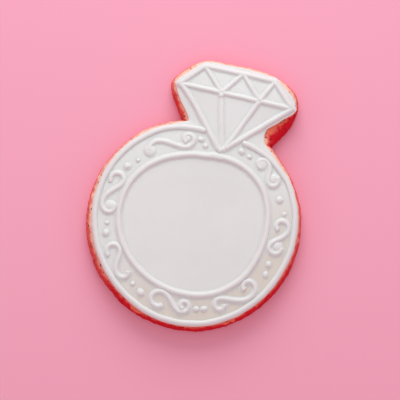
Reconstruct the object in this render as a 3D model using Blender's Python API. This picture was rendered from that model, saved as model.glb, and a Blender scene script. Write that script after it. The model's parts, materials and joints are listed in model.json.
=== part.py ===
"""Iced sugar cookie cut as a ring with a gem on top.

One flat piece of rolled dough, a flood coat of royal icing over its top, and
piped royal icing on the coat: a rim line, an inner ring line, seven scrolls
and eight pairs of dots in the band between them, and the facet lines of the gem.

Metres, +Z up. Origin: the centre of the ring on the flat underside.
+Y runs from the ring's centre to the gem.
"""
import math

import bmesh
import bpy
from mathutils import Vector

MM = 0.001

# ---- heights above the underside ----------------------------------------
DOUGH_THICK = 8.0 * MM        # rolled and baked dough, flat underside
COAT_THICK = 1.25 * MM        # flood coat of icing
BEAD_WIDTH = 1.25 * MM        # piped line, as wide as its tip's opening
BEAD_HEIGHT = 0.95 * MM
RING_BEAD_SIZE = 1.15          # the two ring lines are piped a little fuller
GAP = 0.3 * MM                # left between one layer and the next

# ---- ring --------------------------------------------------------------
RING_ICING_R = 38.1 * MM      # edge of the flood coat
RING_DOUGH_R = 40.1 * MM      # widest point of the dough's wall
# hand-spread edge: (waves round the ring, height, azimuth of a crest)
RING_ICING_WAVES = ((1, 0.67 * MM, 133.0), (3, 0.42 * MM, 41.0))
RING_DOUGH_WAVES = ((1, 0.95 * MM, 150.0), (2, 0.13 * MM, 23.0), (3, 0.13 * MM, 48.0))
RING_STEPS = 72               # points round the arc between the notches

# ---- gem: corners anticlockwise from the right notch --------------------
# (icing x, y), (dough x, y), in millimetres
GEM_CORNERS = (
    ((16.1, 36.2), (18.9, 36.3)),
    ((14.9, 39.3), (20.6, 39.9)),
    ((15.9, 42.7), (22.6, 43.9)),
    ((19.2, 46.9), (24.0, 48.4)),
    ((22.9, 51.0), (24.3, 52.6)),
    ((22.2, 54.9), (22.4, 57.4)),
    ((16.7, 59.1), (18.2, 60.6)),
    ((10.5, 61.3), (11.9, 62.6)),
    ((3.5, 61.6), (3.4, 63.0)),
    ((-3.4, 60.9), (-4.2, 62.3)),
    ((-9.2, 60.4), (-10.6, 61.9)),
    ((-14.2, 59.2), (-15.9, 60.4)),
    ((-18.5, 54.6), (-20.3, 56.6)),
    ((-22.3, 49.6), (-24.1, 50.9)),
    ((-21.4, 46.6), (-23.7, 46.4)),
    ((-18.6, 42.6), (-21.1, 42.2)),
    ((-14.6, 38.2), (-17.6, 38.0)),
    ((-13.6, 36.4), (-16.1, 36.0)),
)
CORNER_STEPS = 2              # points added between two gem corners

# dough wall, from the underside up: (height, 0 = icing edge .. 1 = widest)
DOUGH_LEVELS = (
    (0.0, 0.72), (1.1 * MM, 0.98), (3.4 * MM, 0.92), (6.0 * MM, 0.62),
    (7.4 * MM, 0.30), (DOUGH_THICK, 0.0),
)
# coat edge, from its foot up: (share of the thickness, distance drawn in)
COAT_LEVELS = ((0.0, 0.0), (0.45, -0.05 * MM), (0.82, 0.35 * MM), (1.0, 1.0 * MM))

# ---- piped lines on the ring -------------------------------------------
RIM_INSET = 0.78 * MM         # rim line's centre in from the coat's edge
RIM_START = 101.0             # azimuth where it leaves the gem's left side
RIM_END = 76.5 + 360.0        # and where it meets the right side
RIM_END_DROP = 2.4 * MM       # it drifts in towards the gem's lines
RIM_DRIFT = (0.08, 0.09)      # over this share of its length at each end
INNER_CENTRE = (-0.61 * MM, 0.23 * MM)
INNER_R = 27.14 * MM
INNER_WAVES = ((2, 0.70 * MM, 14.0), (3, 0.73 * MM, 55.0), (4, 0.24 * MM, 53.0))
INNER_DENT = 0.45 * MM         # it dips in under the gem's point
INNER_DENT_AZ, INNER_DENT_WIDTH = 97.0, 8.0

# ---- scrolls ------------------------------------------------------------
# A scroll is an S of two tails that leave one point back to back. Along a
# tail the bend eases in over the first third and tightens towards the tip.
TAIL_EASE = 0.35
# (azimuth, radius of the middle, slant to the ring's tangent,
#  tail A (length, bend radius, tightening), tail B the same,
#  which tail ends in a filled curl)
SCROLLS = (
    (121.3, 30.6, -35.0, (12.1, 12.35, 5.67), (16.4, 3.34, 2.60), ("A", 1.75, 0.0)),
    (173.2, 32.5, -35.6, (16.5, 5.31, 3.31), (13.7, 2.43, 0.99), ("A", 1.6, 1.0)),
    (221.9, 31.5, -44.7, (11.9, 4.13, 2.66), (13.5, 2.55, 1.04), None),
    (270.2, 30.4, -43.3, (16.2, 2.80, 2.40), (17.1, 3.21, 1.35), None),
    (309.8, 30.4, -32.0, (21.5, 6.73, 4.14), (12.0, 2.24, 1.47), None),
    (5.4, 30.8, -53.5, (15.6, 3.50, 2.18), (11.4, 2.01, 0.70), ("B", 1.5, 0.6)),
    (50.0, 32.6, -45.3, (12.5, 3.71, 3.22), (9.5, 1.75, 0.79), ("A", 1.6, 1.0)),
)
TAIL_STEPS = 15

# ---- dots: (azimuth, radius of the place, radius of the dot) --------------
DOTS = (
    (103.1, 31.6, 0.95), (99.7, 29.3, 0.88),
    (148.9, 31.9, 0.72), (156.6, 33.1, 1.20),
    (196.3, 32.7, 0.72), (202.8, 33.3, 1.20),
    (240.9, 32.1, 0.78), (248.6, 32.6, 1.20),
    (288.0, 31.8, 0.95), (293.1, 31.9, 0.95),
    (340.7, 32.4, 0.95), (347.6, 31.3, 1.02),
    (23.0, 33.2, 0.78), (32.6, 32.5, 1.20),
    (74.3, 32.0, 1.02), (68.0, 32.1, 0.78),
)
DOT_HEIGHT_SHARE = 0.75       # height of a dot over its radius

# ---- gem lines: points of the cut stone, in millimetres -------------------
CULET = (1.3, 29.3)
GIRDLE = ((-21.1, 48.9), (-5.1, 49.9), (9.5, 50.9), (22.3, 51.9))
CROWN = ((-13.6, 57.8), (0.9, 59.1), (12.9, 60.0))
LINE_WIDTH = 1.35 * MM


# ---- helpers -------------------------------------------------------------
def clear_scene():
    for obj in list(bpy.data.objects):
        bpy.data.objects.remove(obj, do_unlink=True)


def make_collection(name):
    coll = bpy.data.collections.new(name)
    bpy.context.scene.collection.children.link(coll)
    return coll


def make_material(name, colour, roughness):
    mat = bpy.data.materials.new(name)
    mat.use_nodes = True
    shader = mat.node_tree.nodes["Principled BSDF"]
    shader.inputs["Base Color"].default_value = (*colour, 1.0)
    shader.inputs["Roughness"].default_value = roughness
    shader.inputs["Metallic"].default_value = 0.0
    return mat


def link_object(name, data, coll, mat=None):
    obj = bpy.data.objects.new(name, data)
    coll.objects.link(obj)
    if mat is not None:
        data.materials.append(mat)
    return obj


def wave(base, waves, azimuth):
    """Radius at an azimuth in degrees: a circle with slow waves on it."""
    total = base
    for order, height, crest in waves:
        total += height * math.cos(math.radians(order * (azimuth - crest)))
    return total


def polar(radius, azimuth):
    a = math.radians(azimuth)
    return Vector((radius * math.cos(a), radius * math.sin(a)))


def azimuth_of(point):
    return math.degrees(math.atan2(point[1], point[0]))


def corner_curve(points, steps):
    """Points of a Catmull-Rom curve through an open run of points."""
    result = []
    last = len(points) - 1
    for i in range(last):
        p1, p2 = points[i], points[i + 1]
        p0 = points[max(i - 1, 0)]
        p3 = points[min(i + 2, last)]
        for k in range(steps + 1):
            t = k / (steps + 1)
            tangent = (p2 - p0) * t + (p0 * 2 - p1 * 5 + p2 * 4 - p3) * t * t
            bend = (p1 * 3 - p0 - p2 * 3 + p3) * t ** 3
            result.append(p1 + (tangent + bend) * 0.5)
    result.append(points[last].copy())
    return result


def cookie_outline(which):
    """Closed outline, anticlockwise: 0 is the icing's edge, 1 the dough's."""
    corners = [Vector(pair[which]) * MM for pair in GEM_CORNERS]
    base = (RING_ICING_R, RING_DOUGH_R)[which]
    waves = (RING_ICING_WAVES, RING_DOUGH_WAVES)[which]
    gem = corner_curve(corners, CORNER_STEPS)
    start = azimuth_of(corners[-1])
    end = azimuth_of(corners[0]) + 360.0
    ring = []
    for i in range(1, RING_STEPS):
        share = i / RING_STEPS
        azimuth = start + (end - start) * share
        radius = wave(base, waves, azimuth)
        # the arc eases into the two notches
        for corner, reach in ((corners[-1], share), (corners[0], 1.0 - share)):
            near = max(0.0, 1.0 - reach / 0.045)
            radius += (corner.length - radius) * near * near
        ring.append(polar(radius, azimuth))
    return gem + ring


def draw_in(outline, distance):
    """The outline moved inwards along its own normals."""
    count = len(outline)
    moved = []
    for i in range(count):
        along = outline[(i + 1) % count] - outline[i - 1]
        inward = Vector((-along.y, along.x)).normalized()
        moved.append(outline[i] + inward * distance)
    return moved


def loft(name, levels, coll, mat):
    """A solid through closed outlines at rising heights, capped at both ends."""
    bm = bmesh.new()
    rings = []
    for outline, height in levels:
        rings.append([bm.verts.new((p.x, p.y, height)) for p in outline])
    count = len(rings[0])
    for low, high in zip(rings, rings[1:]):
        for i in range(count):
            j = (i + 1) % count
            bm.faces.new((low[i], low[j], high[j], high[i]))
    bm.faces.new(list(reversed(rings[0])))
    bm.faces.new(rings[-1])
    bmesh.ops.triangulate(bm, faces=[f for f in bm.faces if len(f.verts) > 4])
    mesh = bpy.data.meshes.new(name)
    bm.to_mesh(mesh)
    bm.free()
    mesh.shade_smooth()
    mesh.set_sharp_from_angle(angle=math.radians(50))
    return link_object(name, mesh, coll, mat)


def bead_profile(coll):
    """Closed half-round section of a piped line, one unit = its real size."""
    curve = bpy.data.curves.new("bead_section", "CURVE")
    curve.dimensions = "2D"
    curve.fill_mode = "NONE"
    spline = curve.splines.new("POLY")
    half = BEAD_WIDTH / 2
    section = []
    for k in range(6):
        a = math.pi * (1.0 - k / 5)
        section.append((half * math.cos(a), BEAD_HEIGHT * math.sin(a)))
    spline.points.add(len(section) - 1)
    for point, (x, y) in zip(spline.points, section):
        point.co = (x, y, 0.0, 1.0)
    spline.use_cyclic_u = True
    obj = link_object("bead_section", curve, coll)
    obj.hide_render = True
    obj.display_type = "WIRE"
    return obj


def bead(name, path, swell, profile, coll, mat, closed=False):
    """A piped line: the half-round section run along a flat path."""
    curve = bpy.data.curves.new(name, "CURVE")
    curve.dimensions = "3D"
    curve.twist_mode = "Z_UP"
    curve.bevel_mode = "OBJECT"
    curve.bevel_object = profile
    curve.use_fill_caps = True
    curve.render_resolution_u = 0
    spline = curve.splines.new("POLY")
    spline.points.add(len(path) - 1)
    for point, place, size in zip(spline.points, path, swell):
        point.co = (place.x, place.y, PIPE_BASE, 1.0)
        point.radius = size
    spline.use_cyclic_u = closed
    return link_object(name, curve, coll, mat)


def line_swell(count, bulb=1.0):
    """Size along a line: rounded at both tips, with a bulb behind each."""
    sizes = []
    for i in range(count):
        tip = min(i, count - 1 - i)
        sizes.append((0.55, 0.95, bulb)[tip] if tip < 3 else 1.0)
    return sizes


def tail(start, heading, length, radius, tighten):
    """One tail of a scroll, turning left, by stepping along its bend."""
    points = [start.copy()]
    place = start.copy()
    substeps = 6
    step = length / (TAIL_STEPS * substeps)
    for i in range(TAIL_STEPS * substeps):
        u = (i + 0.5) / (TAIL_STEPS * substeps)
        e = min(u / TAIL_EASE, 1.0)
        grow = max(0.0, (u - TAIL_EASE) / (1.0 - TAIL_EASE))
        bend = e * e * (3 - 2 * e) * (1 + (tighten - 1) * grow) / radius
        heading += bend * step / 2
        place += Vector((math.cos(heading), math.sin(heading))) * step
        heading += bend * step / 2
        if (i + 1) % substeps == 0:
            points.append(place.copy())
    curl = Vector((-math.sin(heading), math.cos(heading)))
    return points, place + curl * (radius / tighten)


def scroll_path(azimuth, radius, slant, tail_a, tail_b):
    middle = polar(radius * MM, azimuth)
    heading = math.radians(azimuth - 90.0 + slant)
    sizes_a = (tail_a[0] * MM, tail_a[1] * MM, tail_a[2])
    sizes_b = (tail_b[0] * MM, tail_b[1] * MM, tail_b[2])
    side_a, curl_a = tail(middle, heading + math.pi, *sizes_a)
    side_b, curl_b = tail(middle, heading, *sizes_b)
    return list(reversed(side_a)) + side_b[1:], {"A": curl_a, "B": curl_b}


def as_mesh(obj):
    """Replace a curve object by a mesh object with welded caps."""
    depsgraph = bpy.context.evaluated_depsgraph_get()
    mesh = bpy.data.meshes.new_from_object(obj.evaluated_get(depsgraph))
    bm = bmesh.new()
    bm.from_mesh(mesh)
    bmesh.ops.remove_doubles(bm, verts=bm.verts, dist=0.00001)
    bmesh.ops.recalc_face_normals(bm, faces=bm.faces)
    bm.to_mesh(mesh)
    bm.free()
    name = obj.name
    colls = list(obj.users_collection)
    matrix = obj.matrix_world.copy()
    bpy.data.objects.remove(obj, do_unlink=True)
    made = bpy.data.objects.new(name, mesh)
    made.matrix_world = matrix
    for coll in colls:
        coll.objects.link(made)
    return made


def dome(name, centre, radius, height, coll, mat, base, rings=3, around=12):
    """A flat-bottomed drop of icing: the upper half of a squashed sphere."""
    bm = bmesh.new()
    bmesh.ops.create_uvsphere(bm, u_segments=around, v_segments=rings * 2, radius=1.0)
    cut = bmesh.ops.bisect_plane(
        bm, geom=bm.verts[:] + bm.edges[:] + bm.faces[:],
        plane_co=(0, 0, 0), plane_no=(0, 0, -1), clear_outer=True)
    rim = [e for e in cut["geom_cut"] if isinstance(e, bmesh.types.BMEdge)]
    bmesh.ops.contextual_create(bm, geom=rim)
    for vert in bm.verts:
        vert.co = Vector((vert.co.x * radius, vert.co.y * radius, vert.co.z * height))
    bmesh.ops.recalc_face_normals(bm, faces=bm.faces)
    mesh = bpy.data.meshes.new(name)
    bm.to_mesh(mesh)
    bm.free()
    mesh.shade_smooth()
    obj = link_object(name, mesh, coll, mat)
    obj.location = (centre.x, centre.y, base)
    return obj


def join_solid(obj, other, operation):
    """Boolean modifier that adds, cuts or keeps what the other solid covers."""
    mod = obj.modifiers.new(operation.lower(), "BOOLEAN")
    mod.object = other
    mod.operation = operation
    mod.solver = "EXACT"
    other.hide_render = True
    other.display_type = "WIRE"


def inset_triangle(a, b, c, inset):
    """Corners of the triangle left when each side moves inwards."""
    centre_sum = Vector((0.0, 0.0))
    sides = ((b - c).length, (c - a).length, (a - b).length)
    perimeter = sum(sides)
    for corner, side in zip((a, b, c), sides):
        centre_sum += corner * (side / perimeter)
    area = abs((b - a).cross(c - a)) / 2
    scale = 1.0 - inset / (2 * area / perimeter)
    return [centre_sum + (corner - centre_sum) * scale for corner in (a, b, c)]


def offset_polygon(points, distance):
    """An anticlockwise convex-ish polygon grown outwards with mitred corners."""
    grown = []
    count = len(points)
    for i in range(count):
        before = (points[i] - points[i - 1]).normalized()
        after = (points[(i + 1) % count] - points[i]).normalized()
        n0 = Vector((before.y, -before.x))
        n1 = Vector((after.y, -after.x))
        middle = (n0 + n1).normalized()
        grown.append(points[i] + middle * (distance / max(middle.dot(n0), 0.45)))
    return grown


def trim_corners(points, length):
    """Each corner replaced by two points a little way along its sides."""
    trimmed = []
    count = len(points)
    for i in range(count):
        for other in (points[i - 1], points[(i + 1) % count]):
            side = other - points[i]
            reach = min(length, side.length * 0.3)
            trimmed.append(points[i] + side.normalized() * reach)
    return trimmed


def gem_lattice(name, coll, cutters, mat):
    """The facet lines of the gem: a flat outline with the facets left open."""
    culet = Vector(CULET) * MM
    girdle = [Vector(p) * MM for p in GIRDLE]
    crown = [Vector(p) * MM for p in CROWN]
    facets = [
        (girdle[0], girdle[1], crown[0]), (girdle[1], crown[1], crown[0]),
        (girdle[1], girdle[2], crown[1]), (girdle[2], crown[2], crown[1]),
        (girdle[2], girdle[3], crown[2]),
        (culet, girdle[1], girdle[0]), (culet, girdle[2], girdle[1]),
        (culet, girdle[3], girdle[2]),
    ]
    outer = [culet, girdle[3], crown[2], crown[1], crown[0], girdle[0]]
    loops = [trim_corners(offset_polygon(outer, LINE_WIDTH / 2), 0.5 * MM)]
    for facet in facets:
        loops.append(trim_corners(inset_triangle(*facet, LINE_WIDTH / 2), 0.35 * MM))
    round_off = 0.42 * MM
    curve = bpy.data.curves.new(name, "CURVE")
    curve.dimensions = "2D"
    curve.fill_mode = "BOTH"
    curve.extrude = BEAD_HEIGHT - round_off
    curve.bevel_depth = round_off
    curve.bevel_resolution = 1
    curve.offset = -round_off
    curve.render_resolution_u = 0
    for loop in loops:
        spline = curve.splines.new("POLY")
        spline.points.add(len(loop) - 1)
        for point, place in zip(spline.points, loop):
            point.co = (place.x, place.y, 0.0, 1.0)
        spline.use_cyclic_u = True
    flat = link_object(name, curve, coll, mat)
    flat.location = (0.0, 0.0, PIPE_BASE)
    solid = as_mesh(flat)
    bpy.ops.mesh.primitive_cube_add(size=1.0, location=(0, 0.045, PIPE_BASE - 0.005))
    box = bpy.context.object
    box.name = "lattice_trim"
    box.scale = (0.08, 0.08, 0.01)
    for old in list(box.users_collection):
        old.objects.unlink(box)
    cutters.objects.link(box)
    join_solid(solid, box, "DIFFERENCE")
    return solid


# ---- build ---------------------------------------------------------------
COAT_BASE = DOUGH_THICK + GAP
COAT_TOP = COAT_BASE + COAT_THICK
PIPE_BASE = COAT_TOP + GAP

clear_scene()
cookie = make_collection("iced_sugar_cookie")
guides = make_collection("cutters_and_guides")

dough_mat = make_material("baked_dough", (0.80, 0.28, 0.20), 0.85)
coat_mat = make_material("royal_icing_coat", (0.84, 0.80, 0.79), 0.42)
pipe_mat = make_material("royal_icing_piped", (0.87, 0.84, 0.83), 0.38)

icing_edge = cookie_outline(0)
dough_edge = cookie_outline(1)

dough_levels = []
for level_height, share in DOUGH_LEVELS:
    blend = [a.lerp(b, share) for a, b in zip(icing_edge, dough_edge)]
    dough_levels.append((blend, level_height))
loft("dough", dough_levels, cookie, dough_mat)

coat_levels = []
for thickness_share, inset in COAT_LEVELS:
    level_height = COAT_BASE + COAT_THICK * thickness_share
    coat_levels.append((draw_in(icing_edge, inset), level_height))
loft("icing_coat", coat_levels, cookie, coat_mat)

section = bead_profile(guides)

rim_path = []
for n in range(76):
    share = n / 75
    where = RIM_START + (RIM_END - RIM_START) * share
    reach = max(0.0, 1 - share / RIM_DRIFT[0], 1 - (1 - share) / RIM_DRIFT[1])
    rim_r = wave(RING_ICING_R, RING_ICING_WAVES, where) - RIM_INSET
    rim_path.append(polar(rim_r - RIM_END_DROP * reach ** 1.5, where))
rim_swell = [size * RING_BEAD_SIZE for size in line_swell(76)]
bead("rim_line", rim_path, rim_swell, section, cookie, pipe_mat)

inner_path = []
for n in range(66):
    where = 360.0 * n / 66
    turn = (where - INNER_DENT_AZ + 180) % 360 - 180
    dent = INNER_DENT * math.exp(-(turn / INNER_DENT_WIDTH) ** 2)
    inner_r = wave(INNER_R, INNER_WAVES, where) - dent
    inner_path.append(Vector(INNER_CENTRE) + polar(inner_r, where))
bead("inner_ring_line", inner_path, [RING_BEAD_SIZE] * 66, section, cookie, pipe_mat,
     closed=True)

for number, (az, rad, slant, side_a, side_b, filled) in enumerate(SCROLLS, start=1):
    path, curls = scroll_path(az, rad, slant, side_a, side_b)
    line = bead(f"scroll_{number}", path, line_swell(len(path), 1.12), section,
                cookie, pipe_mat)
    if filled:
        line = as_mesh(line)
        end, blob, share = filled
        spot = (path[0] if end == "A" else path[-1]).lerp(curls[end], share)
        drop = dome(f"curl_fill_{number}", spot, blob * MM,
                    BEAD_HEIGHT * 1.02, guides, pipe_mat, PIPE_BASE)
        join_solid(line, drop, "UNION")

for number, (az, rad, size) in enumerate(DOTS, start=1):
    dome(f"dot_{number:02d}", polar(rad * MM, az), size * MM,
         size * MM * DOT_HEIGHT_SHARE, cookie, pipe_mat, PIPE_BASE, rings=2, around=10)

gem_lattice("gem_lines", cookie, guides, pipe_mat)
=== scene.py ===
"""Iced sugar cookie: ring with a gem, in baked dough and royal icing.

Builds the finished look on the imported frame: rough baked dough, a soft flood
coat, and piped ring lines, scrolls, dots and gem lines.
"""

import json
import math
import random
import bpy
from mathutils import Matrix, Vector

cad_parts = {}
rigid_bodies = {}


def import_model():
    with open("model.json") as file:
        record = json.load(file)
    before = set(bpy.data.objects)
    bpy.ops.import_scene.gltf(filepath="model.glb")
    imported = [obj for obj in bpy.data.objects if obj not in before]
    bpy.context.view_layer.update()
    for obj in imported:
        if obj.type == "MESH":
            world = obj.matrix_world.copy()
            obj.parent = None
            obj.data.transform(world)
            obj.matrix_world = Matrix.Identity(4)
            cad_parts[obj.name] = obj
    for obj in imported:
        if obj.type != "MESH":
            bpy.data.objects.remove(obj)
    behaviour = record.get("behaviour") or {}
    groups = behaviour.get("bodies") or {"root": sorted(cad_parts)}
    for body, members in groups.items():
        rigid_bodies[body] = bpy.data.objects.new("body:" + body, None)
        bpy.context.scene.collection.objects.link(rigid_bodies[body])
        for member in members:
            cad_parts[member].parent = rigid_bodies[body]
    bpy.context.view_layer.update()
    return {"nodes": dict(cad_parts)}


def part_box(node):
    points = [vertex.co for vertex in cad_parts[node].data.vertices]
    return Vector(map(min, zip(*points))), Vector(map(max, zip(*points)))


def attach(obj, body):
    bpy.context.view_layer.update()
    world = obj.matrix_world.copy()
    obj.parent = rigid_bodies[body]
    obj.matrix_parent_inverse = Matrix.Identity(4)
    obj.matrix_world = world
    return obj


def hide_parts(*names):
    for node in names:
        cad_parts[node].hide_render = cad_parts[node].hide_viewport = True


bl_info = {
    "name": "Iced Ring Cookie",
    "version": (1, 0, 0),
    "blender": (4, 5, 0),
    "location": "View3D > Sidebar > Cookie",
    "description": "Models an iced sugar cookie cut as a ring with a gem",
    "category": "Add Mesh",
}

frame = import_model()

import bmesh
import bpy
import numpy as np
from bpy.props import (FloatProperty, FloatVectorProperty, IntProperty,
                       PointerProperty)
from mathutils import Matrix, Vector, noise
from mathutils.kdtree import KDTree

MM = 0.001
DOUGH_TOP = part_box("dough")[1][2]
COAT_FOOT, COAT_TOP = (corner[2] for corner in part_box("icing_coat"))
PIPE_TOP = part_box("rim_line")[1][2]

# ---- where the piped icing lies -------------------------------------------
RING_ICING_R = 38.1 * MM
RING_ICING_WAVES = ((1, 0.67 * MM, 133.0), (3, 0.42 * MM, 41.0))
RIM_INSET = 0.92 * MM
RIM_START, RIM_END = 100.2, 437.3
RIM_END_DROP = 2.4 * MM
RIM_DRIFT = (0.08, 0.11)       # share of the line over which its ends drift in
INNER_CENTRE = Vector((-0.61 * MM, 0.23 * MM))
INNER_R = 27.14 * MM
INNER_WAVES = ((2, 0.70 * MM, 14.0), (3, 0.73 * MM, 55.0), (4, 0.24 * MM, 53.0))
INNER_DENT, INNER_DENT_AZ, INNER_DENT_WIDTH = 0.45 * MM, 97.0, 8.0
INNER_JOIN = 88.0             # azimuth where the inner line starts and stops

# scrolls: azimuth, radius, slant, tail A (length, bend radius, tightening),
# tail B the same, bulb at the tip of A and of B, and the blobs where curls
# have run together: which tail, radius, from its tip (0) to its middle (1)
TAIL_EASE = 0.35
SCROLLS = (
    (121.3, 30.6, -35.0, (12.1, 12.35, 5.67), (16.4, 3.34, 2.60), 1.2, 1.1,
     (("A", 2.1, 0.0), ("B", 1.2, 1.0))),
    (173.2, 32.5, -35.6, (16.5, 5.31, 3.31), (13.7, 2.43, 0.99), 1.1, 1.0,
     (("A", 1.95, 0.75),)),
    (221.9, 31.5, -44.7, (11.9, 4.13, 2.66), (13.5, 2.55, 1.04), 1.3, 0.95, ()),
    (270.2, 30.4, -43.3, (16.2, 2.80, 2.40), (17.1, 3.21, 1.35), 1.25, 1.1, ()),
    (309.8, 30.4, -32.0, (21.5, 6.73, 4.14), (12.0, 2.24, 1.47), 1.35, 1.1, ()),
    (5.4, 30.8, -53.5, (15.6, 3.50, 2.18), (11.4, 2.01, 0.70), 1.1, 1.1,
     (("B", 1.85, 0.5),)),
    (50.0, 32.6, -45.3, (12.5, 3.71, 3.22), (9.5, 1.75, 0.79), 1.1, 1.3,
     (("A", 2.1, 1.0), ("B", 1.85, 0.5))),
)

# dots: azimuth, radius of the place, radius of the dot, stretch
DOTS = (
    (103.1, 31.6, 0.95, 1.2), (99.7, 29.3, 0.88, 1.0),
    (148.9, 31.9, 0.72, 1.0), (156.6, 33.1, 1.20, 1.05),
    (196.3, 32.7, 0.72, 1.0), (202.8, 33.3, 1.20, 1.05),
    (240.9, 32.1, 0.78, 1.0), (248.6, 32.6, 1.20, 1.1),
    (287.5, 31.7, 0.95, 1.1), (292.7, 31.8, 1.00, 1.2),
    (340.7, 32.2, 0.95, 1.2), (347.6, 31.1, 1.02, 1.1),
    (23.0, 33.2, 0.78, 1.0), (32.6, 32.5, 1.20, 1.05),
    (74.3, 32.0, 1.05, 1.15), (68.0, 32.1, 0.78, 1.1),
)

# gem: the points of the cut stone, in millimetres
CULET = (1.3, 29.3)
CULET_SPREAD = (1.05, 0.6)     # half the width of the point, where lines land
GIRDLE = ((-21.1, 48.9), (-5.1, 49.9), (9.5, 50.9), (22.1, 51.8))
CROWN = ((-13.8, 58.0), (0.8, 59.2), (12.8, 59.9))

# icing: how a line or drop is rounded, and how finely each is made
SLOPE = 1.6                    # fall of the foot outside the round back
LINE_SINK, DROP_SINK = 0.5 * MM, 0.4 * MM
TIP_POINTS = 24                # steps across a line's section
SCROLL_STEPS, RIM_STEPS, INNER_STEPS = 46, 420, 330
INNER_LAP = 5.5                # degrees that the inner line laps each way
SCROLL_SKIN, RING_SKIN = 0.11 * MM, 0.16 * MM
GEM_SKIN, COAT_SKIN = 0.15 * MM, 0.42 * MM
BOWED_BAR, MIDDLE_BAR = 11, 13  # gem lines that bow and that have sunk

# stage: key light (azimuth, elevation, distance, size, power, colour), the
# surroundings' tints low down and overhead, and the camera
KEY_LIGHT = (106.0, 35.0, 0.60, 0.42, 2.15, (0.80, 1.0, 0.96))
LIGHT_AIM = (0, 0.009, 0.005)
LOW_TINT, HIGH_TINT = (1.0, 0.45, 0.55, 1.0), (1.0, 0.97, 0.98, 1.0)
HIGH_FROM, AIR_STRENGTH = 0.75, 0.68
CAMERA_TARGET = (-0.91, 8.94, 9.5)
CAMERA_BACK, CAMERA_TILT, CAMERA_AZIMUTH, CAMERA_LENS = 0.742, 83.0, 287.0, 180.0

# azimuths for painted light and shade: the dough's wall is painted peach facing the
# first and crimson away from it, and the icing band is painted darker away from the
# second
PAINTED_LIGHT_SIDE = 112.0
BAND_LIT_SIDE = 130.0

# burrs and chips on the dough's wall: azimuth, height, width, reach out
BURRS = (
    (308.5, 6.3 * MM, 1.6 * MM, 0.9 * MM), (304.0, 6.6 * MM, 2.6 * MM, 0.5 * MM),
    (252.0, 6.6 * MM, 3.4 * MM, 0.7 * MM), (196.0, 5.8 * MM, 2.2 * MM, 0.5 * MM),
    (171.0, 6.4 * MM, 1.6 * MM, 0.5 * MM), (8.0, 6.0 * MM, 2.0 * MM, 0.45 * MM),
    (236.0, 5.0 * MM, 1.8 * MM, -0.6 * MM), (330.0, 5.6 * MM, 1.7 * MM, -0.5 * MM),
)


class CookieSizes(bpy.types.PropertyGroup):
    bead_width: FloatProperty(
        name="Piped line", description="Width of a piped line",
        default=1.75 * MM, unit="LENGTH", precision=5)
    bead_height: FloatProperty(
        name="Piped height", description="How far a piped line stands up",
        default=PIPE_TOP - COAT_TOP - 0.52 * MM, unit="LENGTH", precision=5)
    foot: FloatProperty(
        name="Foot", description="How softly a line runs into the coat",
        default=0.28 * MM, unit="LENGTH", precision=5)
    ring_size: FloatProperty(
        name="Ring lines", description="Fullness of the two ring lines",
        default=1.20, min=0.5, max=2.0)
    gem_size: FloatProperty(
        name="Gem lines", description="Fullness of the gem's lines",
        default=1.12, min=0.5, max=2.0)
    crown: FloatProperty(
        name="Crown", description="How far the top falls away at its edges",
        default=0.95 * MM, unit="LENGTH", precision=5)
    crown_width: FloatProperty(
        name="Crown width", description="Width of the band that falls away",
        default=13.0 * MM, unit="LENGTH", precision=5)
    dot_rise: FloatProperty(
        name="Dot rise", description="Height of a dot over its radius",
        default=0.75, min=0.3, max=1.5)
    dough_cuts: IntProperty(
        name="Dough detail", description="Cuts across each face of the wall",
        default=9, min=1, max=12)
    crumb: FloatProperty(
        name="Crumb", description="Roughness of the baked wall",
        default=0.26 * MM, unit="LENGTH", precision=5)
    pore_depth: FloatProperty(
        name="Pores", description="Depth of the open pores in the wall",
        default=0.50 * MM, unit="LENGTH", precision=5)


def colour_property(label, words, value):
    return FloatVectorProperty(
        name=label, description=words, default=value, subtype="COLOR",
        size=3, min=0.0, max=1.0)


class CookieColours(bpy.types.PropertyGroup):
    icing: colour_property("Icing", "Dried royal icing", (0.82, 0.79, 0.795))
    icing_cool: colour_property(
        "Icing, thick", "Where the coat is thickest", (0.80, 0.772, 0.772))
    # painted shade: the icing band on the side away from the key light
    icing_band_shade: colour_property(
        "Icing, thin", "Where the coat has run thin", (0.77, 0.69, 0.63))
    # painted light: the peach of the upper wall and top edge on the side facing the
    # key light
    crest: colour_property(
        "Crest", "Pale baked crest of the dough", (1.0, 0.64, 0.48))
    # upper and lower wall on the side where the key light falls; away from it they
    # pass into the painted shade colours below
    coral: colour_property(
        "Coral", "Upper wall of the dough", (0.92, 0.26, 0.20))
    crust: colour_property("Wall", "Baked wall of the dough", (0.86, 0.12, 0.11))
    # painted shade: the lower wall on the side away from the key light, darker
    # towards the bottom; also used for the random dark flecks
    shade_low_and_flecks: colour_property(
        "Wall, low", "Dough near the tray and in its pores", (0.68, 0.004, 0.018))
    # painted shade: the upper wall on the side away from the key light
    painted_shade_upper: colour_property(
        "Wall, shaded", "Upper wall on the side baked darkest", (0.76, 0.012, 0.03))
    # painted shade: the top edge on the side away from the key light
    painted_shade_lip: colour_property(
        "Lip, shaded", "Top edge on the side baked darkest", (0.93, 0.21, 0.13))
    # painted highlight on the raised crumbs of the wall
    crumb_highlights: colour_property(
        "Crumbs", "Raised crumbs on the wall", (0.98, 0.66, 0.48))
    # painted shade in the pores and cracks
    pores: colour_property("Pores", "Bottom of the pores", (0.20, 0.006, 0.010))
    under: colour_property(
        "Underside", "Browned underside", (0.62, 0.20, 0.10))
    under_dark: colour_property(
        "Underside, dark", "Darker patches underneath", (0.42, 0.105, 0.05))
    floor: colour_property("Floor", "Plain floor", (0.965, 0.398, 0.54))


# ---- selecting and finishing -----------------------------------------------
def only_none():
    bpy.ops.object.select_all(action="DESELECT")


def only(obj):
    only_none()
    obj.select_set(True)
    bpy.context.view_layer.objects.active = obj


def rename(obj, name):
    obj.name = name
    obj.data.name = name
    return obj


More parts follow.
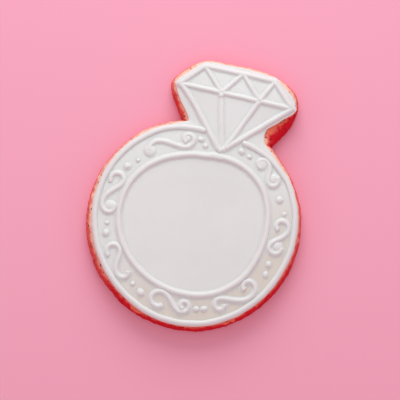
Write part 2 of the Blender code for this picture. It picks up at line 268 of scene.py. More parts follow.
def apply_all(obj):
    only(obj)
    for modifier in list(obj.modifiers):
        bpy.ops.object.modifier_apply(modifier=modifier.name)


def settle(obj):
    """Apply the object's own place, so that it is all in the mesh."""
    only(obj)
    bpy.ops.object.transform_apply(location=True, rotation=True, scale=True)


def mend(obj, turn=True):
    """Close seams and poles, and point the faces outwards."""
    only(obj)
    bpy.ops.object.mode_set(mode="EDIT")
    bpy.ops.mesh.select_all(action="SELECT")
    bpy.ops.mesh.remove_doubles(threshold=0.000005)
    if turn:
        bpy.ops.mesh.normals_make_consistent(inside=False)
    bpy.ops.object.mode_set(mode="OBJECT")


def copy_node(node, name):
    """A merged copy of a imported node, to be worked on."""
    source = frame["nodes"][node]
    obj = bpy.data.objects.new(name, source.data.copy())
    obj.data.name = name
    obj.data.materials.clear()
    bpy.context.scene.collection.objects.link(obj)
    mend(obj, turn=False)
    return obj


def remesh(obj, size, smoothing):
    """Run the joined shapes together and soften the joints."""
    skin = obj.modifiers.new("one skin", "REMESH")
    skin.mode = "VOXEL"
    skin.voxel_size = size
    soft = obj.modifiers.new("soften", "SMOOTH")
    soft.factor = 0.5
    soft.iterations = smoothing
    apply_all(obj)


def spots_and_normals(mesh):
    """The vertices' places and normals, as two tables of three columns."""
    spots = np.empty(len(mesh.vertices) * 3)
    mesh.vertices.foreach_get("co", spots)
    normals = np.empty(len(mesh.vertices) * 3)
    mesh.vertex_normals.foreach_get("vector", normals)
    return spots.reshape(-1, 3), normals.reshape(-1, 3)


def finish_piece(obj, material, node_names):
    obj.data.materials.clear()
    obj.data.materials.append(material)
    only(obj)
    bpy.ops.object.shade_smooth()
    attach(obj, "root")
    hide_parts(*node_names)


class Crown:
    """The top of the cookie falls away softly towards its edges."""

    def __init__(self, sizes):
        self.fall, self.width = sizes.crown, sizes.crown_width
        outline = copy_node("icing_coat", "coat_outline")
        points = []
        work = bmesh.new()
        work.from_mesh(outline.data)
        for edge in work.edges:
            level = max(v.co.z for v in edge.verts) < COAT_FOOT + 0.01 * MM
            if level and any(abs(f.normal.z) < 0.7 for f in edge.link_faces):
                a, b = (v.co for v in edge.verts)
                cuts = max(1, int((b - a).length / (0.3 * MM)))
                points += [a.lerp(b, k / cuts) for k in range(cuts)]
        work.free()
        bpy.data.objects.remove(outline, do_unlink=True)
        self.edge = KDTree(len(points))
        for number, point in enumerate(points):
            self.edge.insert((point.x, point.y, 0), number)
        self.edge.balance()

    def at(self, x, y):
        away = self.edge.find((x, y, 0))[2]
        return -self.fall * (1 - min(away / self.width, 1.0)) ** 2

    def band_shade_at(self, x, y):
        """Painted shade on the icing band near the edge, most on the side away from
        the key light.
        """
        away = self.edge.find((x, y, 0))[2]
        near = 1 - min(max((away - 8 * MM) / (5 * MM), 0.0), 1.0)
        side = -math.cos(math.atan2(y, x) - math.radians(BAND_LIT_SIDE))
        side *= min(math.hypot(x, y) / (20 * MM), 1.0)
        share = min(max((side + 0.1) / 0.75, 0.0), 1.0)
        return near * share * share * (3 - 2 * share)

    def lay(self, obj):
        """Let a piped piece follow the top."""
        spots, _normals = spots_and_normals(obj.data)
        for spot in spots:
            spot[2] += self.at(spot[0], spot[1])
        obj.data.vertices.foreach_set("co", spots.reshape(-1))
        obj.data.update()


# ---- shapes ------------------------------------------------------------------
def polar(radius, azimuth):
    a = math.radians(azimuth)
    return Vector((radius * math.cos(a), radius * math.sin(a)))


def wave(base, waves, azimuth):
    return base + sum(height * math.cos(math.radians(order * (azimuth - crest)))
                      for order, height, crest in waves)


def tail(start, heading, length, radius, tighten, steps):
    """One tail of a scroll, turning left: points, and the curl's centre."""
    points, place = [start.copy()], start.copy()
    fine = 4
    step = length / (steps * fine)
    for i in range(steps * fine):
        u = (i + 0.5) / (steps * fine)
        ease = min(u / TAIL_EASE, 1.0)
        grow = max(0.0, (u - TAIL_EASE) / (1.0 - TAIL_EASE))
        bend = ease * ease * (3 - 2 * ease) * (1 + (tighten - 1) * grow) / radius
        heading += bend * step / 2
        place += Vector((math.cos(heading), math.sin(heading))) * step
        heading += bend * step / 2
        if (i + 1) % fine == 0:
            points.append(place.copy())
    inward = Vector((-math.sin(heading), math.cos(heading)))
    return points, place + inward * (radius / tighten)


def unsteady(points, seed, amount):
    """The small sideways drift of a hand-held piping bag."""
    drifted = []
    for i, point in enumerate(points):
        before = points[max(i - 1, 0)]
        after = points[min(i + 1, len(points) - 1)]
        along = after - before
        side = Vector((-along.y, along.x)).normalized()
        sway = noise.noise(Vector((point.x * 180, point.y * 180, seed)))
        drifted.append(point + side * sway * amount)
    return drifted


def tip_sizes(points, bulb_start, bulb_end, seed, closed=False):
    """Fullness along a line: round tips, bulbs behind them, a slow unevenness."""
    reach = [0.0]
    for a, b in zip(points, points[1:]):
        reach.append(reach[-1] + (b - a).length)
    total, sizes = reach[-1], []
    for point, run in zip(points, reach):
        size = 1 + 0.07 * noise.noise(Vector((point.x * 260, point.y * 260, seed)))
        for distance, bulb in ((run, bulb_start), (total - run, bulb_end)):
            if closed:
                continue
            size *= 1 + (bulb - 1) * math.exp(-(distance / (1.5 * MM)) ** 2)
            near = min(distance / (0.62 * MM), 1.0)
            size *= 0.18 + 0.82 * math.sqrt(max(0.0, 1 - (1 - near) ** 2))
        sizes.append(size)
    return sizes


def tip_section(sizes, skirt=1.75):
    """Section of a piped line: round back, feet that run into the coat."""
    half, rise, foot = sizes.bead_width / 2, sizes.bead_height, sizes.foot
    section = []
    for k in range(TIP_POINTS + 1):
        x = (k / TIP_POINTS * 2 - 1) * half * skirt
        inside = 1 - (x / half) ** 2
        back = rise * math.sqrt(inside) if inside > 0 else -(abs(x) - half) * SLOPE
        height = (back + math.sqrt(back * back + foot * foot)) / 2
        section.append((x, height))
    section += [(section[-1][0], -LINE_SINK), (section[0][0], -LINE_SINK)]
    data = bpy.data.curves.new("piping_tip", "CURVE")
    data.dimensions = "2D"
    data.fill_mode = "NONE"
    spline = data.splines.new("POLY")
    spline.points.add(len(section) - 1)
    for point, (x, y) in zip(spline.points, section):
        point.co = (x, y, 0.0, 1.0)
    spline.use_cyclic_u = True
    obj = bpy.data.objects.new("piping_tip", data)
    bpy.context.scene.collection.objects.link(obj)
    return obj


def pipe(name, points, fullness, tip, height, closed=False):
    """A line of icing piped along flat points, as a closed mesh."""
    data = bpy.data.curves.new(name, "CURVE")
    data.dimensions = "3D"
    data.twist_mode = "Z_UP"
    data.bevel_mode = "OBJECT"
    data.bevel_object = tip
    data.use_fill_caps = True
    spline = data.splines.new("POLY")
    spline.points.add(len(points) - 1)
    for point, place, size in zip(spline.points, points, fullness):
        point.co = (place.x, place.y, height, 1.0)
        point.radius = size
    spline.use_cyclic_u = closed
    obj = bpy.data.objects.new(name, data)
    bpy.context.scene.collection.objects.link(obj)
    only(obj)
    bpy.ops.object.convert(target="MESH")
    obj = bpy.context.object
    mend(obj)
    return obj


def drop(name, centre, radius, rise, foot, height):
    """A dot of icing, drawn up ring by ring from its foot."""
    only_none()
    outer = radius + 0.45 * MM
    bpy.ops.mesh.primitive_circle_add(
        vertices=28, radius=outer, fill_type="NGON",
        location=(centre.x, centre.y, height - DROP_SINK))
    obj = rename(bpy.context.object, name)
    bpy.ops.object.mode_set(mode="EDIT")
    bpy.ops.mesh.select_all(action="SELECT")
    steps = 11
    last_r, last_z = outer, -DROP_SINK
    for k in range(steps + 1):
        share = math.sin(math.pi / 2 * k / steps)
        r = outer * (1 - share) + 0.04 * MM
        inside = 1 - (r / radius) ** 2
        back = rise * math.sqrt(inside) if inside > 0 else -(r - radius) * SLOPE
        z = (back + math.sqrt(back * back + foot * foot)) / 2
        bpy.ops.mesh.extrude_region_move(
            TRANSFORM_OT_translate={"value": (0, 0, z - last_z)})
        bpy.ops.transform.resize(
            value=(r / last_r, r / last_r, 1),
            center_override=(centre.x, centre.y, height + z))
        last_r, last_z = r, z
    bpy.ops.object.mode_set(mode="OBJECT")
    settle(obj)
    mend(obj)
    return obj


def join(objects, name):
    only(objects[0])
    for obj in objects[1:]:
        obj.select_set(True)
    if len(objects) > 1:
        bpy.ops.object.join()
    return rename(bpy.context.object, name)


# ---- materials -----------------------------------------------------------------
class Field:
    """A value that varies over a surface; sums of fields add Math nodes."""

    def __init__(self, finish, socket):
        self.finish, self.socket = finish, socket

    def __add__(self, other):
        return self.finish.maths("ADD", self, other)

    def __sub__(self, other):
        return self.finish.maths("SUBTRACT", self, other)

    def __rsub__(self, other):
        return self.finish.maths("SUBTRACT", other, self)

    def __mul__(self, other):
        return self.finish.maths("MULTIPLY", self, other)

    __radd__ = __add__
    __rmul__ = __mul__


class Finish:
    """One material and the nodes that make it."""

    def __init__(self, name):
        self.material = bpy.data.materials.new(name)
        self.material.use_nodes = True
        self.tree = self.material.node_tree
        self.shader = self.tree.nodes["Principled BSDF"]
        self.place = self.node("ShaderNodeTexCoord", "Object", {})

    def node(self, kind, output, sockets, **settings):
        made = self.tree.nodes.new(kind)
        for key, value in settings.items():
            setattr(made, key, value)
        for key, value in sockets.items():
            self.feed(made.inputs[key], value)
        return Field(self, made.outputs[output])

    def feed(self, socket, value):
        if isinstance(value, Field):
            self.tree.links.new(value.socket, socket)
        elif socket.type == "RGBA" and len(value) == 3:
            socket.default_value = (*value, 1.0)
        else:
            socket.default_value = value

    def maths(self, operation, a, b):
        return self.node("ShaderNodeMath", 0, {0: a, 1: b}, operation=operation)

    def grain(self, per_mm, detail, rough, shift=0.0):
        """Noise of a size given in waves to the millimetre."""
        at = self.node("ShaderNodeMapping", 0, {
            "Vector": self.place, "Location": (shift, shift * 0.7, 0)})
        return self.node("ShaderNodeTexNoise", 0, {
            "Vector": at, "Scale": per_mm * 1000, "Detail": detail,
            "Roughness": rough})

    def band(self, value, low, high, to_low=0.0, to_high=1.0):
        """Smooth step of a field between two of its values."""
        return self.node("ShaderNodeMapRange", 0, {
            "Value": value, "From Min": low, "From Max": high,
            "To Min": to_low, "To Max": to_high},
            interpolation_type="SMOOTHSTEP", clamp=True)

    def mix(self, share, first, second):
        return self.node("ShaderNodeMix", 2, {0: share, 6: first, 7: second},
                         data_type="RGBA")

    def height(self):
        return self.node("ShaderNodeSeparateXYZ", 2, {0: self.place})

    def mark(self, name):
        return self.node("ShaderNodeAttribute", 2, {}, attribute_name=name)

    def bump(self, relief, distance):
        return self.node("ShaderNodeBump", 0, {
            "Strength": 1.0, "Distance": distance, "Height": relief})

    def set(self, **sockets):
        for key, value in sockets.items():
            self.feed(self.shader.inputs[key.replace("_", " ")], value)
        return self.material


def icing_finish(name, colours, roughness, relief, thin=False):
    made = Finish(name)
    cloud = made.grain(0.05, 3.0, 0.55)
    fine = made.grain(2.2, 3.0, 0.6, shift=0.3)
    slow = made.grain(0.28, 2.0, 0.5, shift=0.9)
    colour = made.mix(made.band(cloud, 0.35, 0.7), tuple(colours.icing),
                      tuple(colours.icing_cool))
    # painted shade on the icing band, on the side away from the key light
    if thin:
        colour = made.mix(made.mark("thin"), colour, tuple(colours.icing_band_shade))
    satin = made.band(made.grain(0.4, 4.0, 0.6, shift=0.5), 0.3, 0.7,
                      roughness - 0.05, roughness + 0.07)
    made.set(Base_Color=colour, Roughness=satin,
             Normal=made.bump(fine * 0.25 + slow, relief))
    made.shader.inputs["Subsurface Weight"].default_value = 0.45
    made.shader.inputs["Subsurface Radius"].default_value = (1.0, 0.88, 0.86)
    made.shader.inputs["Subsurface Scale"].default_value = 0.0009
    made.shader.inputs["Specular IOR Level"].default_value = 0.4
    return made.material


def dough_finish(colours):
    made = Finish("baked_dough")
    height = made.height() * 1000.0
    pit = made.mark("pit")
    raised = made.mark("raised")
    patch = made.grain(0.22, 4.0, 0.6)
    fleck = made.grain(1.5, 4.0, 0.65, shift=0.4)
    grain = made.grain(4.0, 3.0, 0.6, shift=0.8)
    # painted light and shade: lit copies of the wall where it faces the key light,
    # peach where it faces it most, crimson painted shade copies away from it
    key_facing = made.mark("key_facing") + patch * 0.5 - 0.25
    lit = made.band(key_facing, -0.75, 0.25)
    peach = made.band(key_facing, 0.15, 0.85)
    low = made.mix(lit, tuple(colours.shade_low_and_flecks), tuple(colours.crust))
    high = made.mix(lit, tuple(colours.painted_shade_upper), tuple(colours.coral))
    # upper wall over lower wall by height, so the wall is darker towards the bottom
    warm = made.band(height + patch * 2.4 - 1.2, 2.6, 7.6)
    wall = made.mix(warm, low, made.mix(peach, high, tuple(colours.crest)))
    # the top edge: painted light peach on the lit side, painted shade on the other
    top = made.band(height + patch * 1.6 + raised * 0.9, 7.6, 8.8)
    wall = made.mix(top, wall, made.mix(lit, tuple(colours.painted_shade_lip),
                                        tuple(colours.crest)))
    # painted highlight on the raised crumbs; the dark flecks after it are random tone
    crumb_highlights = made.band(fleck, 0.60, 0.72) * made.band(raised, 0.35, 0.8)
    wall = made.mix(crumb_highlights * 0.6, wall, tuple(colours.crumb_highlights))
    wall = made.mix(made.band(fleck, 0.42, 0.30) * 0.45, wall, tuple(colours.shade_low_and_flecks))
    # painted shade in the pores and cracks
    wall = made.mix(pit * 0.85, wall, tuple(colours.pores))
    brown = made.mix(made.band(patch, 0.35, 0.65), tuple(colours.under),
                     tuple(colours.under_dark))
    made.shader.inputs["Specular IOR Level"].default_value = 0.12
    floor_side = made.band(height, 0.22, 0.02)
    colour = made.mix(floor_side, wall, brown)
    return made.set(
        Base_Color=colour, Roughness=made.band(raised, 0.0, 1.0, 0.92, 0.74),
        Normal=made.bump(grain * 0.5 + fleck, 0.00022))


def plain_finish(name, colour):
    made = Finish(name)
    tone = made.grain(0.01, 2.0, 0.5)
    shade = made.mix(made.band(tone, 0.3, 0.7) * 0.5, tuple(colour),
                     tuple(c * 0.985 for c in colour))
    made.shader.inputs["Specular IOR Level"].default_value = 0.1
    return made.set(Base_Color=shade, Roughness=0.75)


# ---- operators -------------------------------------------------------------------
def kit(context):
    scene = context.scene
    return scene.cookie_sizes, scene.cookie_colours


def shared_icing(colours):
    found = bpy.data.materials.get("piped_icing")
    return found or icing_finish("piped_icing", colours, 0.40, 0.00004)


class COOKIE_OT_dough(bpy.types.Operator):
    """Bake the dough: a rough-walled slab with open pores and burrs"""
    bl_idname = "cookie.dough"
    bl_label = "Dough"

    def execute(self, context):
        sizes, colours = kit(context)
        slab = copy_node("dough", "baked_dough")
        self.cut_wall(slab, sizes.dough_cuts)
        self.roughen(slab, sizes)
        finish_piece(slab, dough_finish(colours), ["dough"])
        return {"FINISHED"}

    def cut_wall(self, slab, cuts):
        """Fine even faces on the wall; single flat faces above and below."""
        only(slab)
        bpy.ops.object.mode_set(mode="EDIT")
        bpy.ops.mesh.select_all(action="SELECT")
        bpy.ops.mesh.tris_convert_to_quads(face_threshold=3.0, shape_threshold=3.0)
        bpy.ops.mesh.select_all(action="DESELECT")
        bpy.ops.object.mode_set(mode="OBJECT")
        for face in slab.data.polygons:
            face.select = abs(face.normal.z) > 0.99
        bpy.ops.object.mode_set(mode="EDIT")
        bpy.ops.mesh.select_mode(type="FACE")
        bpy.ops.mesh.delete(type="ONLY_FACE")
        bpy.ops.mesh.select_mode(type="VERT")
        bpy.ops.mesh.select_all(action="DESELECT")
        bpy.ops.mesh.select_loose()
        bpy.ops.mesh.delete(type="EDGE")
        bpy.ops.mesh.select_all(action="SELECT")
        bpy.ops.mesh.subdivide(number_cuts=cuts, smoothness=0.0)
        bpy.ops.mesh.select_all(action="DESELECT")
        bpy.ops.object.mode_set(mode="OBJECT")

    def roughen(self, slab, sizes):
        mesh = slab.data
        count = len(mesh.vertices)
        spots, normals = spots_and_normals(mesh)
        pits = np.zeros(count)
        raised = np.zeros(count)
        key_facing = np.zeros(count)
        light_x, light_y = polar(1.0, PAINTED_LIGHT_SIDE)
        moved = spots.copy()
        for i in range(count):
            x, y, z = spots[i]
            free = min(max((z - 0.15 * MM) / (0.8 * MM), 0.0), 1.0)
            if free <= 0.0:
                continue
            at = Vector((x, y, z)) * 1000
            lump = noise.noise(at * 0.13)
            crumb = noise.fractal(at * 0.55, 0.9, 2.2, 4)
            crack = noise.noise(Vector((at.x * 0.5, at.y * 0.5, at.z * 1.7)))
            groove = max(0.0, 1 - abs(crack) * 9) * max(
                0.0, noise.noise(at * 0.2 + Vector((7, 3, 1))) * 2)
            spread, _cells = noise.voronoi(at * 0.62)
            open_pore = noise.noise(at * 0.33 + Vector((3, 9, 4)))
            pore = max(0.0, 1 - spread[0] / 0.34) if open_pore > 0.02 else 0.0
            out = lump * 0.35 * MM + crumb * sizes.crumb
            out -= groove * 0.28 * MM + pore ** 0.7 * sizes.pore_depth
            azimuth = math.degrees(math.atan2(y, x)) % 360
            radius = math.hypot(x, y)
            if radius < 42 * MM:
                for where, level, width, reach in BURRS:
                    turn = (azimuth - where + 180) % 360 - 180
                    away = math.hypot(math.radians(turn) * radius, z - level)
                    out += reach * math.exp(-(away / width * 1.6) ** 2)
            moved[i] = spots[i] + normals[i] * out * free
            # depth of the pores and cracks, later painted with shade
            pits[i] = min(1.0, pore * 1.6 + groove * 0.7) * free
            raised[i] = min(max(crumb * 0.55 + 0.5, 0.0), 1.0)
            # how far the wall faces the key light: the dough is painted lighter
            # towards it and darker away from it
            flat = math.hypot(normals[i][0], normals[i][1]) or 1.0
            key_facing[i] = (normals[i][0] * light_x + normals[i][1] * light_y) / flat
        moved[:, 2] = np.maximum(moved[:, 2], 0.0)
        mesh.vertices.foreach_set("co", moved.reshape(-1))
        for name, values in (("pit", pits), ("raised", raised), ("key_facing", key_facing)):
            layer = mesh.attributes.new(name, "FLOAT", "POINT")
            layer.data.foreach_set("value", values)
        mesh.update()
        self.close(slab)

    def close(self, slab):
        """Fill the flat underside and the hidden top."""
        only(slab)
        bpy.ops.object.mode_set(mode="EDIT")
        bpy.ops.mesh.select_mode(type="EDGE")
        for top in (False, True):
            bpy.ops.mesh.select_all(action="DESELECT")
            bpy.ops.mesh.select_non_manifold(
                extend=False, use_wire=False, use_boundary=True,
                use_multi_face=False, use_non_contiguous=False, use_verts=False)
            bpy.ops.object.mode_set(mode="OBJECT")
            level = DOUGH_TOP / 2
            for edge in slab.data.edges:
                heights = [slab.data.vertices[v].co.z for v in edge.vertices]
                if edge.select and (min(heights) > level) != top:
                    edge.select = False
            bpy.ops.object.mode_set(mode="EDIT")
            bpy.ops.mesh.edge_face_add()
        bpy.ops.mesh.select_all(action="SELECT")
        bpy.ops.mesh.normals_make_consistent(inside=False)
        bpy.ops.object.mode_set(mode="OBJECT")


class COOKIE_OT_coat(bpy.types.Operator):
    """Flood the top with royal icing: a soft-edged coat, not quite level"""
    bl_idname = "cookie.coat"
    bl_label = "Icing coat"

    def execute(self, context):
        sizes, colours = kit(context)
        coat = copy_node("icing_coat", "flood_coat")
        for vertex in coat.data.vertices:
            if vertex.co.z < COAT_FOOT + 0.01 * MM:
                vertex.co.z = DOUGH_TOP - 0.12 * MM
        remesh(coat, COAT_SKIN, 12)
        self.settle_flood(coat, Crown(sizes))
        finish_piece(coat, icing_finish("flood_icing", colours, 0.46, 0.00003, True),
                     ["icing_coat"])
        return {"FINISHED"}

    def settle_flood(self, coat, crown):
        """A hand-spread edge, and a surface that dried a little uneven."""
        spots, normals = spots_and_normals(coat.data)
        thin = np.zeros(len(spots))
        for i, spot in enumerate(spots):
            at = Vector(spot) * 1000
            turned = normals[i]
            # where the band is painted with shade, stored as an attribute for the
            # finish
            thin[i] = crown.band_shade_at(spot[0], spot[1])
            flat = abs(turned[2])
            out = noise.noise(Vector((at.x * 0.22, at.y * 0.22, 2.0))) * 0.22 * MM
            out += noise.noise(Vector((at.x * 0.7, at.y * 0.7, 5.0))) * 0.06 * MM
            spot[:2] += turned[:2] * out * (1 - flat)
            if turned[2] > 0:
                swell = noise.noise(Vector((at.x * 0.09, at.y * 0.09, 8.0))) * 0.05
                swell += noise.noise(Vector((at.x * 0.3, at.y * 0.3, 4.0))) * 0.012
                spot[2] += swell * MM * flat
            share = (spot[2] - COAT_FOOT) / (COAT_TOP - COAT_FOOT)
            spot[2] += crown.at(spot[0], spot[1]) * max(share, 0.0)
        coat.data.vertices.foreach_set("co", spots.reshape(-1))
        layer = coat.data.attributes.new("thin", "FLOAT", "POINT")
        layer.data.foreach_set("value", thin)
        coat.data.update()


class COOKIE_OT_ring_lines(bpy.types.Operator):
    """Pipe the rim line and the inner ring line"""
    bl_idname = "cookie.ring_lines"
    bl_label = "Ring lines"

    def execute(self, context):
        sizes, colours = kit(context)
        tip = tip_section(sizes)
        icing = shared_icing(colours)
        rim = []
        for n in range(RIM_STEPS + 1):
            share = n / RIM_STEPS
            where = RIM_START + (RIM_END - RIM_START) * share
            reach = max(0.0, 1 - share / RIM_DRIFT[0], 1 - (1 - share) / RIM_DRIFT[1])
            radius = wave(RING_ICING_R, RING_ICING_WAVES, where) - RIM_INSET
            rim.append(polar(radius - RIM_END_DROP * reach ** 1.5, where))
        rim = unsteady(rim, 1.0, 0.14 * MM)
        full = [s * sizes.ring_size for s in tip_sizes(rim, 1.0, 1.0, 3.0)]
        line = pipe("piped_rim", rim, full, tip_section(sizes, 1.1), COAT_TOP)
        crown = Crown(sizes)
        crown.lay(line)
        finish_piece(line, icing, ["rim_line"])
        ring = []
        for n in range(INNER_STEPS + 1):
            share = n / INNER_STEPS
            where = INNER_JOIN - INNER_LAP + (360.0 + 2 * INNER_LAP) * share
            turn = (where - INNER_DENT_AZ + 180) % 360 - 180
            dent = INNER_DENT * math.exp(-(turn / INNER_DENT_WIDTH) ** 2)
            radius = wave(INNER_R, INNER_WAVES, where) - dent
            lap = max(0.0, 1 - share / 0.03) - max(0.0, 1 - (1 - share) / 0.03)
            ring.append(INNER_CENTRE + polar(radius - lap * 0.35 * MM, where))
        ring = unsteady(ring, 4.0, 0.12 * MM)
        full = [s * sizes.ring_size for s in tip_sizes(ring, 1.05, 1.0, 6.0)]
        line = pipe("piped_inner_ring", ring, full, tip, COAT_TOP)
        remesh(line, RING_SKIN, 4)
        crown.lay(line)
        finish_piece(line, icing, ["inner_ring_line"])
        return {"FINISHED"}


class COOKIE_OT_scrolls(bpy.types.Operator):
    """Pipe the S-shaped scrolls in the band"""
    bl_idname = "cookie.scrolls"
    bl_label = "Scrolls"

    def execute(self, context):
        sizes, colours = kit(context)
        tip = tip_section(sizes)
        icing = shared_icing(colours)
        crown = Crown(sizes)
        for number, row in enumerate(SCROLLS, start=1):
            azimuth, radius, slant, size_a, size_b, bulb_a, bulb_b, filled = row
            middle = polar(radius * MM, azimuth)
            heading = math.radians(azimuth - 90.0 + slant)
            side_a, curl_a = tail(middle, heading + math.pi, size_a[0] * MM,
                                  size_a[1] * MM, size_a[2], SCROLL_STEPS)
            side_b, curl_b = tail(middle, heading, size_b[0] * MM,
                                  size_b[1] * MM, size_b[2], SCROLL_STEPS)
            path = list(reversed(side_a)) + side_b[1:]
            path = unsteady(path, number * 2.0, 0.10 * MM)
            full = tip_sizes(path, bulb_a, bulb_b, number * 3.0)
            shapes = [pipe(f"line_{number}", path, full, tip, COAT_TOP)]
            for end, blob, share in filled:
                tip_spot, middle = ((path[0], curl_a) if end == "A"
                                    else (path[-1], curl_b))
                shapes.append(drop("curl", tip_spot.lerp(middle, share), blob * MM,
                                   sizes.bead_height * 0.95, sizes.foot, COAT_TOP))
            scroll = join(shapes, f"piped_scroll_{number}")
            remesh(scroll, SCROLL_SKIN, 5)
            crown.lay(scroll)
            finish_piece(scroll, icing, [f"scroll_{number}"])
        return {"FINISHED"}


class COOKIE_OT_dots(bpy.types.Operator):
    """Pipe the pairs of dots between the scrolls"""
    bl_idname = "cookie.dots"
    bl_label = "Dots"

    def execute(self, context):
        sizes, colours = kit(context)
        icing = shared_icing(colours)
        crown = Crown(sizes)
        chance = random.Random(7)
        model = drop("dot_model", Vector((0, 0)), 1.0 * MM,
                     sizes.dot_rise * MM, sizes.foot, 0.0)
        for number, (azimuth, radius, size, stretch) in enumerate(DOTS, start=1):
            dot = bpy.data.objects.new(f"piped_dot_{number:02d}", model.data.copy())
            context.scene.collection.objects.link(dot)
            place = polar(radius * MM, azimuth)
            turn = chance.uniform(-0.6, 0.6) + math.radians(azimuth + 90)
            lean = chance.uniform(0.05, 0.16)
            for vertex in dot.data.vertices:
                rise = max(vertex.co.z, 0.0) / (sizes.dot_rise * MM)
                vertex.co.x += lean * rise * rise * MM
                sway = noise.noise(vertex.co * 900 + Vector((number * 3, 0, 0)))
                vertex.co += vertex.co.normalized() * sway * 0.05 * MM
            dot.matrix_world = (
                Matrix.Translation((place.x, place.y, COAT_TOP))
                @ Matrix.Rotation(turn, 4, "Z")
                @ Matrix.Diagonal((size * stretch, size / stretch ** 0.5, size, 1)))
            settle(dot)
            soft = dot.modifiers.new("soften", "SUBSURF")
            soft.levels = soft.render_levels = 1
            apply_all(dot)
            crown.lay(dot)
            finish_piece(dot, icing, [f"dot_{number:02d}"])
        bpy.data.objects.remove(model, do_unlink=True)
        return {"FINISHED"}


class COOKIE_OT_gem_lines(bpy.types.Operator):
    """Pipe the facet lines of the gem, run together where they meet"""
    bl_idname = "cookie.gem_lines"
    bl_label = "Gem lines"

    def execute(self, context):
        sizes, colours = kit(context)
        tip = tip_section(sizes)
        culet = Vector(CULET) * MM
        spread = Vector(CULET_SPREAD) * MM
        girdle = [Vector(p) * MM for p in GIRDLE]
        crown = [Vector(p) * MM for p in CROWN]
        bars = [
            (girdle[0], crown[0], 1.0), (crown[2], girdle[3], 1.0),
            (crown[0], crown[1], 0.95), (crown[1], crown[2], 0.95),
            (girdle[0], girdle[1], 0.9), (girdle[1], girdle[2], 0.85),
            (girdle[2], girdle[3], 0.9), (crown[0], girdle[1], 0.85),
            (girdle[1], crown[1], 0.85), (crown[1], girdle[2], 0.85),
            (girdle[2], crown[2], 0.85), (girdle[0], culet - spread, 1.0),
            (girdle[3], culet + spread, 1.0), (girdle[1], culet, 0.9),
            (girdle[2], culet + spread, 0.9),
        ]
        lines = []
        for number, (start, end, thick) in enumerate(bars):
            count = max(8, int((end - start).length / (0.35 * MM)))
            path = [start.lerp(end, k / count) for k in range(count + 1)]
            if number == BOWED_BAR:
                bulge = (end - start).orthogonal().normalized() * 0.8 * MM
                path = [spot + bulge * math.sin(math.pi * (k / count) ** 0.6)
                        for k, spot in enumerate(path)]
            path = unsteady(path, number * 5.0, 0.10 * MM)
            full = [s * sizes.gem_size * thick
                    for s in tip_sizes(path, 1.05, 1.0, number * 2.0)]
            lines.append(pipe(f"bar_{number}", path, full, tip, COAT_TOP))
        self.flatten(lines[MIDDLE_BAR])
        lines.append(drop("start", girdle[1].lerp(culet, 0.045), 1.15 * MM,
                          sizes.bead_height * 1.1, sizes.foot, COAT_TOP))
        corners = [girdle[0], girdle[3], *crown, culet - spread * 0.6,
                   culet + spread * 0.6]
        for number, spot in enumerate(corners):
            lines.append(drop(f"corner_{number}", spot, 1.05 * MM,
                              sizes.bead_height, sizes.foot, COAT_TOP))
        lattice = join(lines, "piped_gem")
        remesh(lattice, GEM_SKIN, 7)
        Crown(sizes).lay(lattice)
        finish_piece(lattice, shared_icing(colours), ["gem_lines"])
        return {"FINISHED"}

    def flatten(self, line):
        """The middle line was piped thin and has sunk."""
        for vertex in line.data.vertices:
            if vertex.co.z > COAT_TOP:
                vertex.co.z = COAT_TOP + (vertex.co.z - COAT_TOP) * 0.55


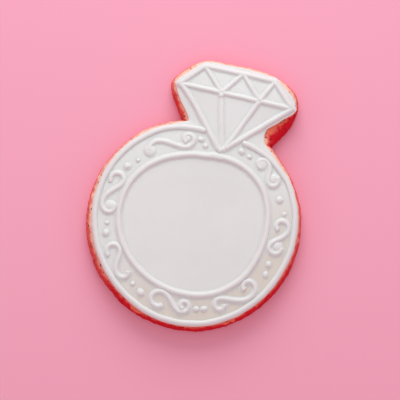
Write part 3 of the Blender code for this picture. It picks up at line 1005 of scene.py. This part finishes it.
class COOKIE_OT_stage(bpy.types.Operator):
    """Set the plain floor, the soft light and the camera"""
    bl_idname = "cookie.stage"
    bl_label = "Stage"

    def execute(self, context):
        _sizes, colours = kit(context)
        tips = [o for o in bpy.data.objects if o.name.startswith("piping_tip")]
        for leftover in tips:
            bpy.data.objects.remove(leftover, do_unlink=True)
        only_none()
        bpy.ops.mesh.primitive_plane_add(size=3.0, location=(0, 0, -0.00002))
        floor = rename(context.object, "floor")
        floor.data.materials.append(plain_finish("plain_floor", colours.floor))
        self.add_light("key", *KEY_LIGHT)
        self.add_surroundings(context)
        context.scene.view_settings.view_transform = "Standard"
        self.add_camera(context)
        return {"FINISHED"}

    def add_light(self, name, azimuth, elevation, distance, size, power, colour):
        flat = math.cos(math.radians(elevation)) * distance
        side = polar(flat, azimuth)
        lamp = bpy.data.lights.new(name, "AREA")
        lamp.size = size
        lamp.energy = power
        lamp.color = colour
        obj = bpy.data.objects.new(name, lamp)
        obj.location = (side.x, side.y, math.sin(math.radians(elevation)) * distance)
        aim = Vector(LIGHT_AIM) - obj.location
        obj.rotation_euler = aim.to_track_quat("-Z", "Y").to_euler()
        bpy.context.scene.collection.objects.link(obj)

    def add_surroundings(self, context):
        """White overhead, and the floor's pink low down all round."""
        world = context.scene.world or bpy.data.worlds.new("studio")
        context.scene.world = world
        world.use_nodes = True
        tree = world.node_tree
        air = tree.nodes["Background"]
        way = tree.nodes.new("ShaderNodeTexCoord")
        apart = tree.nodes.new("ShaderNodeSeparateXYZ")
        rise = tree.nodes.new("ShaderNodeMapRange")
        rise.interpolation_type = "SMOOTHSTEP"
        rise.inputs["From Max"].default_value = HIGH_FROM
        tint = tree.nodes.new("ShaderNodeMix")
        tint.data_type = "RGBA"
        tint.inputs[6].default_value = LOW_TINT
        tint.inputs[7].default_value = HIGH_TINT
        tree.links.new(way.outputs["Generated"], apart.inputs[0])
        tree.links.new(apart.outputs["Z"], rise.inputs["Value"])
        tree.links.new(rise.outputs[0], tint.inputs[0])
        tree.links.new(tint.outputs[2], air.inputs["Color"])
        air.inputs["Strength"].default_value = AIR_STRENGTH

    def add_camera(self, context):
        target = Vector(CAMERA_TARGET) * MM
        back, tilt = CAMERA_BACK, math.radians(CAMERA_TILT)
        side = polar(math.cos(tilt) * back, CAMERA_AZIMUTH)
        lens = bpy.data.cameras.new("camera")
        lens.lens = CAMERA_LENS
        camera = bpy.data.objects.new("camera", lens)
        camera.location = target + Vector((side.x, side.y, math.sin(tilt) * back))
        aim = target - camera.location
        camera.rotation_euler = aim.to_track_quat("-Z", "Y").to_euler()
        context.scene.collection.objects.link(camera)
        context.scene.camera = camera


class COOKIE_PT_panel(bpy.types.Panel):
    bl_label = "Iced ring cookie"
    bl_idname = "COOKIE_PT_panel"
    bl_space_type = "VIEW_3D"
    bl_region_type = "UI"
    bl_category = "Cookie"

    def draw(self, context):
        for group in kit(context):
            box = self.layout.box()
            for name in group.bl_rna.properties.keys():
                if name not in {"rna_type", "name"}:
                    box.prop(group, name)
        for step in STEPS:
            self.layout.operator(step.bl_idname)


STEPS = (COOKIE_OT_dough, COOKIE_OT_coat, COOKIE_OT_ring_lines, COOKIE_OT_scrolls,
         COOKIE_OT_dots, COOKIE_OT_gem_lines, COOKIE_OT_stage)
CLASSES = (CookieSizes, CookieColours) + STEPS + (COOKIE_PT_panel,)


def register():
    for cls in CLASSES:
        bpy.utils.register_class(cls)
    bpy.types.Scene.cookie_sizes = PointerProperty(type=CookieSizes)
    bpy.types.Scene.cookie_colours = PointerProperty(type=CookieColours)


def unregister():
    del bpy.types.Scene.cookie_colours
    del bpy.types.Scene.cookie_sizes
    for cls in reversed(CLASSES):
        bpy.utils.unregister_class(cls)


def main():
    register()
    bpy.ops.cookie.dough()
    bpy.ops.cookie.coat()
    bpy.ops.cookie.ring_lines()
    bpy.ops.cookie.scrolls()
    bpy.ops.cookie.dots()
    bpy.ops.cookie.gem_lines()
    bpy.ops.cookie.stage()


if __name__ == "__main__":
    main()
